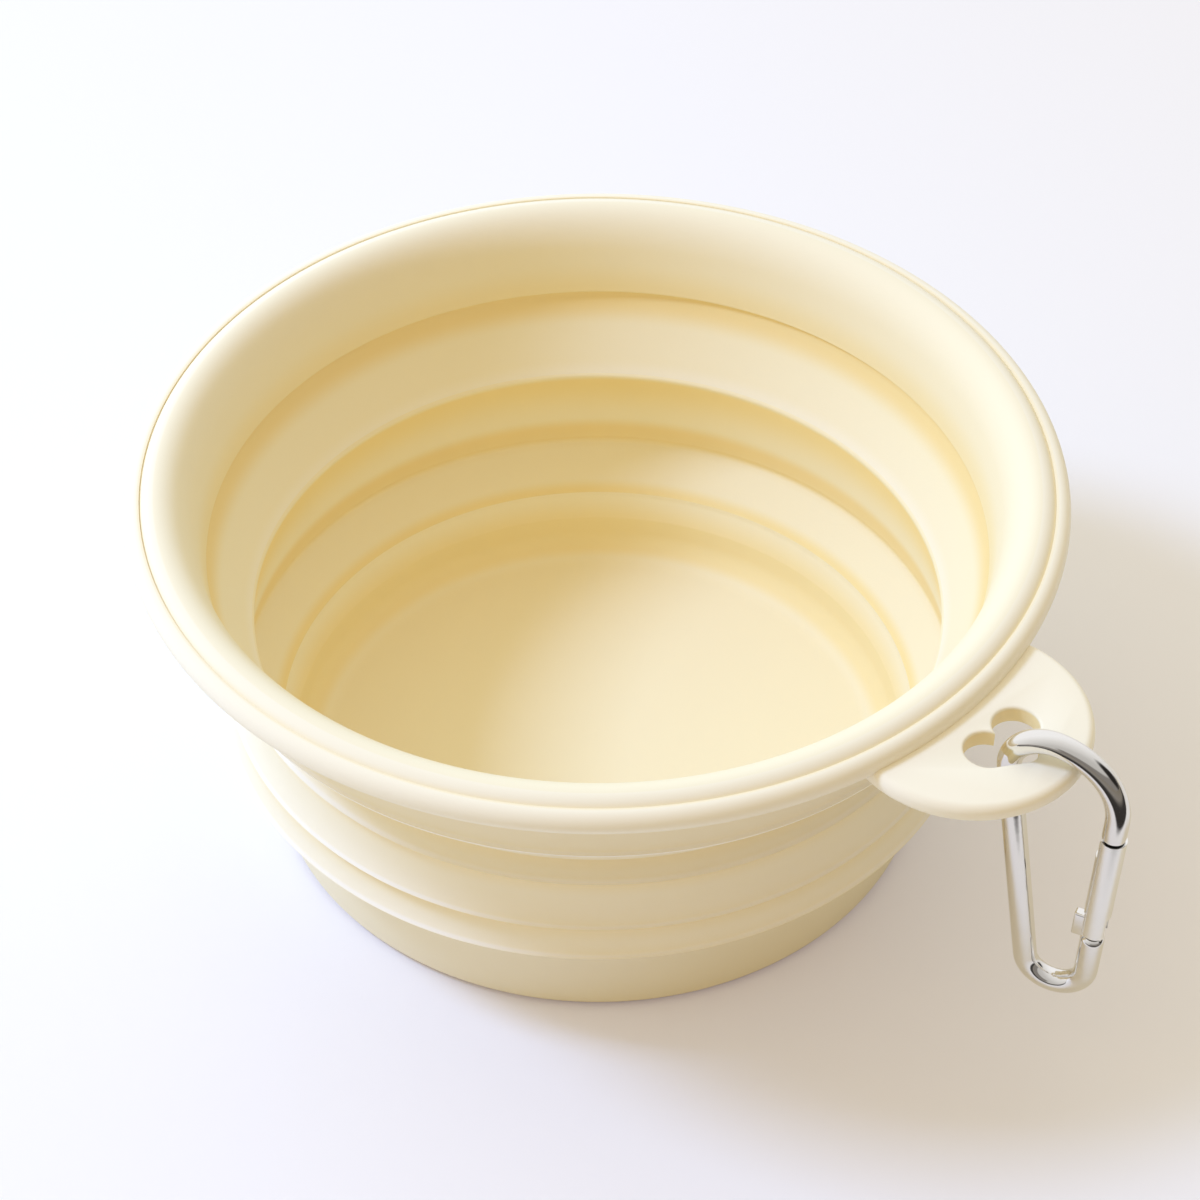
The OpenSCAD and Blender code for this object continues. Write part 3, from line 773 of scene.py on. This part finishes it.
def heart_point(turn, grow):
    """A point of the heart's outline, grown by so much, at an angle seen from the heart's middle.

    It is the farthest point of that ray on the three rounds and on the straight side between them.
    """
    lobe_r, tip_r = LOBE_R + grow, TIP_R + grow
    aim = Vector((math.cos(turn), math.sin(turn)))
    half = math.copysign(1, aim.y)
    middle = Vector((HEART_MIDDLE, 0))
    farthest = 0.0
    rounds = [(HEART_X + TIP_RUN, 0, tip_r), (HEART_X, LOBE_Y, lobe_r), (HEART_X, -LOBE_Y, lobe_r)]
    for x, y, r in rounds:
        to = Vector((x, y)) - middle
        along = to.dot(aim)
        room = r * r - (to.length_squared - along * along)
        if room > 0:
            farthest = max(farthest, along + math.sqrt(room))
    side = math.acos((lobe_r - tip_r) / math.hypot(TIP_RUN, LOBE_Y)) - math.atan2(LOBE_Y, TIP_RUN)
    normal = Vector((math.cos(side), half * math.sin(side)))
    rise = normal.dot(aim)
    if rise > 0:
        lobe = Vector((HEART_X, half * LOBE_Y)) - middle
        wall = (normal.dot(lobe) + lobe_r) / rise
        along_wall = (aim * wall - lobe).dot(Vector((normal.y, -normal.x)) * half)
        length = math.sqrt(TIP_RUN ** 2 + LOBE_Y ** 2 - (lobe_r - tip_r) ** 2)
        if 0 <= along_wall <= length:
            farthest = max(farthest, wall)
    return middle + aim * farthest


def heart_cutter():
    """A heart-shaped plug through the tab that widens at both faces, so that the hole's edges are round."""
    deselect()
    bpy.ops.mesh.primitive_circle_add(vertices=LOOP_STEPS, radius=MM, fill_type="NGON")
    bpy.ops.object.mode_set(mode="EDIT")
    steps, over = 5, 0.5
    rounds = [1 - math.sqrt(1 - (1 - k / steps) ** 2) for k in range(steps + 1)]
    edge = [(HEART_EDGE * k / steps, HEART_EDGE * rounding) for k, rounding in enumerate(rounds)]
    upper_edge = [(TAB_T - z, grow) for z, grow in reversed(edge)]
    levels = [(-over, HEART_EDGE), *edge, *upper_edge, (TAB_T + over, HEART_EDGE)]
    for k, (z, grow) in enumerate(levels):
        if k:
            bpy.ops.mesh.extrude_region_move(TRANSFORM_OT_translate={"value": (0, 0, MM)})
        for v in [v for v in edit_mesh().verts if v.select]:
            spot = heart_point(math.atan2(v.co.y, v.co.x - (HEART_MIDDLE * MM if k else 0)), grow)
            v.co = Vector((spot.x, spot.y, TAB_LOW_Z + z)) * MM
    return close_solid()


def round_plate(x, radius, z_low, z_high, edge, steps):
    """A disc, its edges rounded if an edge is given."""
    deselect()
    bpy.ops.mesh.primitive_cylinder_add(
        vertices=steps, radius=radius * MM, depth=(z_high - z_low) * MM,
        location=(x * MM, 0, (z_low + z_high) / 2 * MM),
    )
    set_down()
    bpy.ops.object.mode_set(mode="EDIT")
    if edge:
        choose("faces", lambda f: abs(f.normal.z) > 0.9)
        bevel_edges(edge, 8)
    return close_solid()


def tab_plate():
    """The tab: a disc with soft edges, cut off inside the bead and pierced by the heart."""
    heart = heart_cutter()
    inside = round_plate(0, GROOVE_R + 0.6, TAB_LOW_Z - OVERRUN, TAB_TOP_Z + OVERRUN, 0, TURN_STEPS)
    tab = round_plate(TAB_X, TAB_R, TAB_LOW_Z, TAB_TOP_Z, TAB_EDGE, LOOP_STEPS)
    combine(tab, inside, "DIFFERENCE")
    combine(tab, heart, "DIFFERENCE")
    return tab


def rim_ring_moulding():
    """Hard rim ring: a turned bead with its ledge, in one piece with the hanging tab."""
    tab = tab_plate()
    ledge_r, ledge_z = GROOVE_R - LEDGE_W, RING_LOW_Z + LEDGE_H
    draw_section([
        (GROOVE_R, ledge_z, 0.1),
        (GROOVE_R, BEAD_Z + GROOVE_EDGE, 0.4),
        *arc((BEAD_X, BEAD_Z), BEAD_R, 100, -28, BEAD_STEPS),
        (GROOVE_R - 0.1, RING_LOW_Z, 0.35),
        (ledge_r, RING_LOW_Z, 0.2),
        (ledge_r, ledge_z, 0.1),
    ])
    turn_section()
    combine(close_solid(), tab, "UNION")
    bpy.ops.object.mode_set(mode="EDIT")
    piece = finish_piece("rim_ring_moulding", hard_shell("ring_plastic"))
    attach(piece, "rim")
    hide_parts("rim_ring")


# Snap hook

def bend_wire(centre, angle, steps):
    """Carries the wire's open end round a centre in the hook's plane; positive is anticlockwise."""
    axis = hook_frame.to_3x3() @ Vector((0, 0, 1))
    bpy.ops.mesh.spin(steps=steps, angle=-angle, center=flat_point(*centre), axis=axis)


def run_wire(step):
    """Draws the wire's open end straight on, by a step in the hook's plane."""
    way = hook_frame.to_3x3() @ Vector((step.x * MM, step.y * MM, 0))
    bpy.ops.mesh.extrude_region_move(TRANSFORM_OT_translate={"value": way})


def round_wire():
    """The bent wire, drawn from its lower shoulder round to its upper one."""
    deselect()
    start = flat_point(*(gate_foot + SHOULDER_LOW * gate_up))
    end = flat_point(*(gate_foot + SHOULDER_HIGH * gate_up))
    bpy.ops.mesh.primitive_circle_add(vertices=RING_SIDES, radius=WIRE_R * MM, fill_type="NGON")
    across = gate_frame.to_3x3().to_4x4() @ Matrix.Rotation(math.pi / 2, 4, "X")
    set_down(Matrix.Translation(start) @ across)
    edit_all()
    run_wire(-SHOULDER_LOW * gate_up)
    spine_turn = math.pi + SPINE_LEAN
    bend_wire(bend_centre, spine_turn + GATE_LEAN - FULL_TURN, 40)
    run_wire((SPINE_RUN - CORNER_DROP) * Vector((-math.sin(SPINE_LEAN), math.cos(SPINE_LEAN))))
    bend_wire(corner_centre, join_turn - spine_turn, 28)
    bend_wire(arc_centre, -GATE_LEAN - join_turn, 36)
    run_wire((SHOULDER_HIGH - line_run) * gate_up)
    for spot, edge in ((start, LOWER_ROUND), (end, UPPER_ROUND)):
        choose("edges", lambda e: all(
            abs((v.co - spot).dot(gate_way)) < 0.01 * MM and (v.co - spot).length < 1.1 * WIRE_R * MM
            for v in e.verts
        ))
        bevel_edges(edge, 7)
    return close_solid()


def flat_plate(x_low, x_high, y_low, y_high, thick, edge):
    """A small plate on the gate's line, x out from it and y along it, with rounded edges."""
    deselect()
    bpy.ops.mesh.primitive_cube_add(size=MM)
    plate = set_down(
        gate_frame
        @ Matrix.Translation(Vector((x_low + x_high, y_low + y_high, 0)) * MM / 2)
        @ Matrix.Diagonal((x_high - x_low, y_high - y_low, thick, 1))
    )
    edit_all()
    bevel_edges(edge, 4)
    bpy.ops.object.mode_set(mode="OBJECT")
    return plate


def hook_wire_body():
    """The hook's wire with the tongue that carries the gate and the nose that stops it."""
    wire = round_wire()
    start, end = PIN_AT - TONGUE_TAIL, SHOULDER_HIGH + TONGUE_ROOT
    tongue = flat_plate(-TONGUE_BACK, TONGUE_FRONT, start, end, TONGUE_T, 0.3)
    start, end = SHOULDER_LOW - NOSE_ROOT, SHOULDER_LOW + NOSE_H
    nose = flat_plate(-GATE_R - NOSE_OUT, NOSE_BACK, start, end, TONGUE_T, 0.25)
    start, end = SHOULDER_LOW - NECK_ROOT, SHOULDER_LOW + NECK_H
    neck = flat_plate(-NECK_FRONT, NECK_BACK, start, end, TONGUE_T, 0.1)
    for plate in (tongue, nose, neck):
        combine(wire, plate, "UNION")
    bpy.ops.object.mode_set(mode="EDIT")
    # Recesses painted dark as shade: the neck by the lower shoulder, and round the tongue inside the sleeve
    neck_recess = (SHOULDER_LOW - NOSE_ROOT, 1.2, 1.3)
    tongue_recess = (PIN_AT - 1.6, 1.5, SHOULDER_HIGH - PIN_AT + 1.7)
    material = plating("wire_plating", 0.035, WIRE_STEEL, [neck_recess, tongue_recess])
    piece = finish_piece("hook_wire_body", material, 40.0)
    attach(piece, "hook")
    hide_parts("hook_wire")


def soften_edges(piece, width):
    """Bevels the piece's sharp edges a little."""
    edge = piece.modifiers.new("soft_edges", "BEVEL")
    edge.width, edge.segments, edge.limit_method = width * MM, 2, "ANGLE"
    edge.angle_limit = math.radians(40)
    bpy.context.view_layer.objects.active = piece
    bpy.ops.object.modifier_apply(modifier=edge.name)


def gate_sleeve():
    """The gate: a round sleeve, bored above for the wire's tongue and slotted inwards, notched below."""
    deselect()
    length = GATE_HIGH - GATE_LOW
    bpy.ops.mesh.primitive_cylinder_add(vertices=RING_SIDES, radius=GATE_R * MM, depth=length * MM)
    gate = set_down(
        gate_frame @ Matrix.Translation((0, (GATE_LOW + GATE_HIGH) / 2 * MM, 0))
        @ Matrix.Rotation(-math.pi / 2, 4, "X")
    )
    bpy.ops.object.mode_set(mode="EDIT")
    choose("faces", lambda f: f.normal.dot(gate_way) > 0.9)
    bpy.ops.mesh.inset(thickness=SLEEVE_T * MM)
    bpy.ops.mesh.extrude_region_move(TRANSFORM_OT_translate={"value": -gate_way * BORE_DEPTH * MM})
    bpy.ops.object.mode_set(mode="OBJECT")
    slot = flat_plate(-SLOT_REACH, 0.0, GATE_HIGH - SLOT_DEPTH, GATE_HIGH + OVERRUN, SLOT_W, 0.1)
    notch = flat_plate(-SLOT_REACH, SLOT_REACH, GATE_LOW - OVERRUN, SHOULDER_LOW + NOTCH_H, SLOT_W, 0.1)
    for cutter in (slot, notch):
        combine(gate, cutter, "DIFFERENCE")
    bpy.ops.object.mode_set(mode="EDIT")
    # The sleeve's bore and slots are painted dark as shade
    recess = (GATE_LOW, GATE_R - 0.29, length + 0.5)
    piece = finish_piece("gate_sleeve", plating("gate_plating", 0.17, GATE_STEEL, [recess]), 30.0)
    soften_edges(piece, 0.09)
    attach(piece, "gate")
    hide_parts("gate")


def gate_rivet():
    """The rivet through the tongue, with rounded ends that lie almost flush with the sleeve."""
    deselect()
    bpy.ops.mesh.primitive_cylinder_add(vertices=32, radius=PIN_R * MM, depth=1.9 * GATE_R * MM)
    set_down(gate_frame @ Matrix.Translation((0, PIN_AT * MM, 0)))
    bpy.ops.object.mode_set(mode="EDIT")
    choose("faces", lambda f: abs(f.normal.dot(gate_side)) > 0.9)
    bevel_edges(0.12, 3)
    piece = finish_piece("gate_rivet", plating("rivet_plating", 0.12, RIVET_STEEL))
    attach(piece, "hook")
    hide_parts("gate_pin")


# Studio, in metres and watts; a way is given as right, away and up in the photograph

CAMERA = Vector((0.2149, -0.2252, 0.3318))
TARGET = Vector((-0.0231, 0.0247, 0.0))
LENS, SENSOR = 90.0, 36.0
VIEW_TURN = math.radians(43.6)

KEY_WAY = (-0.94, 0.10, 1.0)
KEY_AIM = Vector((0, 0, 0.03))
KEY_AWAY, KEY_SIZE, KEY_POWER = 0.9, 0.2, 3.25
KEY_TONE = (0.70, 1.0, 1.74)

# The floor glows a little for the camera, and polished metal sees it dark in front of the hook
FLOOR_SIZE = 6.0
FLOOR_TONE = (0.86, 0.85, 0.86)
FLOOR_GLOW = 0.12
GLOW_TONE = (0.50, 0.58, 1.0)
DARK_FROM = (0.079, 0.0, 0.0)
DARK_WAY = (0.20, -0.98, 0.0)
DARK_EDGE, GREY_EDGE = (0.043, 0.055), (0.10, 0.20)

# Colour of the sky in the middle, and what it gains towards the right, away from the camera and up
SKY_MEAN = (0.68, 0.68, 0.555)
SKY_RIGHT = (-0.22, -0.225, -0.15)
SKY_AWAY = (0.205, 0.33, 0.38)
SKY_UP = (0.22, 0.10, 0.0)
SKY_LEAST = (0.02, 0.016, 0.012)

# What polished metal sees: a pale room, brightest away from the camera, a grey belt and a dark flag
LIGHT_SIDE = (-0.30, 0.88, 0.37)
ROOM = [
    (0.00, (0.52, 0.50, 0.47)), (0.30, (0.60, 0.58, 0.55)), (0.42, (0.72, 0.70, 0.67)),
    (0.60, (0.84, 0.82, 0.79)), (0.85, (1.02, 1.01, 1.00)),
]
GREY_SIDE = (0.64, -0.77, 0.0)
GREY_TONE = (0.24, 0.22, 0.20)
DARK_FLAG = (0.94, -0.17, 0.29)
DARK_TONE = (0.025, 0.022, 0.020)
BELT_LEVEL, BELT_SIDE, FLAG_EDGE = (0.36, 0.24), (0.36, 0.50), (0.90, 0.975)


def studio_turn(way):
    """From a way in the photograph to the bowl's own axes."""
    return Matrix.Rotation(VIEW_TURN, 3, "Z") @ Vector(way)


def stand(name, data, spot, aim):
    """Adds a camera or a lamp at a spot, turned towards an aim."""
    holder = bpy.data.objects.new(name, data)
    bpy.context.scene.collection.objects.link(holder)
    holder.location = spot
    holder.rotation_euler = (aim - spot).to_track_quat("-Z", "Y").to_euler()
    return holder


def camera():
    data = bpy.data.cameras.new("camera")
    data.lens, data.sensor_width = LENS, SENSOR
    data.clip_start, data.clip_end = 0.01, 20
    bpy.context.scene.camera = stand("camera", data, CAMERA, TARGET)


def key_light():
    """The one lamp, soft and up to the left, seen neither by the camera nor by polished metal."""
    data = bpy.data.lights.new("key", "AREA")
    data.shape, data.size, data.energy, data.color = "SQUARE", KEY_SIZE, KEY_POWER, KEY_TONE
    way = studio_turn(Vector(KEY_WAY).normalized())
    key = stand("key", data, KEY_AIM + way * KEY_AWAY, KEY_AIM)
    key.visible_camera = False
    key.visible_glossy = False


def floor():
    """Pale floor that keeps the bowl's shadow."""
    deselect()
    bpy.ops.mesh.primitive_plane_add(size=FLOOR_SIZE)
    plane = bpy.context.object
    plane.name = "floor"
    finish = Finish("floor_white", FLOOR_TONE, 0.6, Specular_IOR_Level=0.2, Emission_Strength=FLOOR_GLOW)
    offset = finish.vectors("SUBTRACT", finish.place, DARK_FROM)
    nearer = finish.vectors("DOT_PRODUCT", offset, studio_turn(DARK_WAY))
    mirrored = finish.mix(finish.fade(nearer, *GREY_EDGE), DARK_TONE, GREY_TONE)
    dark = finish.is_ray("Glossy") * finish.fade(nearer, *DARK_EDGE)
    finish.paint(
        Base_Color=finish.mix(dark, FLOOR_TONE, mirrored),
        Emission_Color=finish.mix(finish.is_ray("Camera"), (0, 0, 0), GLOW_TONE),
    )
    plane.data.materials.append(finish.material)


class Sky(Finish):
    """The surroundings: white where the camera sees them, and otherwise brightest up to the left."""

    def __init__(self, name):
        made = bpy.data.worlds.new(name)
        bpy.context.scene.world = made
        made.use_nodes = True
        self.tree = made.node_tree
        self.shader = self.tree.nodes["Background"]
        self.place = self.node("ShaderNodeTexCoord", out="Generated")

    def towards(self, way):
        """1 in a direction, -1 opposite to it."""
        return self.vectors("DOT_PRODUCT", self.place, studio_turn(Vector(way).normalized()))

    def diffuse(self):
        """The graded light that falls on everything."""
        tone = SKY_MEAN
        for way, gain in (((1, 0, 0), SKY_RIGHT), ((0, 1, 0), SKY_AWAY), ((0, 0, 1), SKY_UP)):
            scaled = {0: gain, "Scale": self.towards(way)}
            gained = self.node("ShaderNodeVectorMath", {"operation": "SCALE"}, scaled)
            tone = self.vectors("ADD", gained, tone)
        return self.vectors("MAXIMUM", tone, SKY_LEAST)

    def mirrored(self):
        """The room that polished metal sees."""
        lightness = 0.5 + 0.5 * self.towards(LIGHT_SIDE)
        room = self.node("ShaderNodeValToRGB", {"stops": ROOM}, {"Fac": lightness})
        level = self.fade(self.towards((0, 0, 1)), *BELT_LEVEL)
        belt = level * self.fade(self.towards(GREY_SIDE), *BELT_SIDE)
        flag = self.fade(self.towards(DARK_FLAG), *FLAG_EDGE)
        return self.mix(flag, self.mix(belt, room, GREY_TONE), DARK_TONE)


def world():
    sky = Sky("studio")
    tone = sky.mix(sky.is_ray("Glossy"), sky.diffuse(), sky.mirrored())
    plain = sky.math("MAXIMUM", sky.is_ray("Camera"), sky.is_ray("Transmission"))
    sky.paint(Color=sky.mix(plain, tone, (1, 1, 1)))


def studio():
    bpy.context.scene.view_settings.view_transform = "Standard"
    camera()
    world()
    floor()
    key_light()


studio()
rim_ring_moulding()
crown_and_skirt()
upper_fold_panel()
middle_band_wall()
lower_fold_panel()
base_cup_moulding()
hook_wire_body()
gate_sleeve()
gate_rivet()
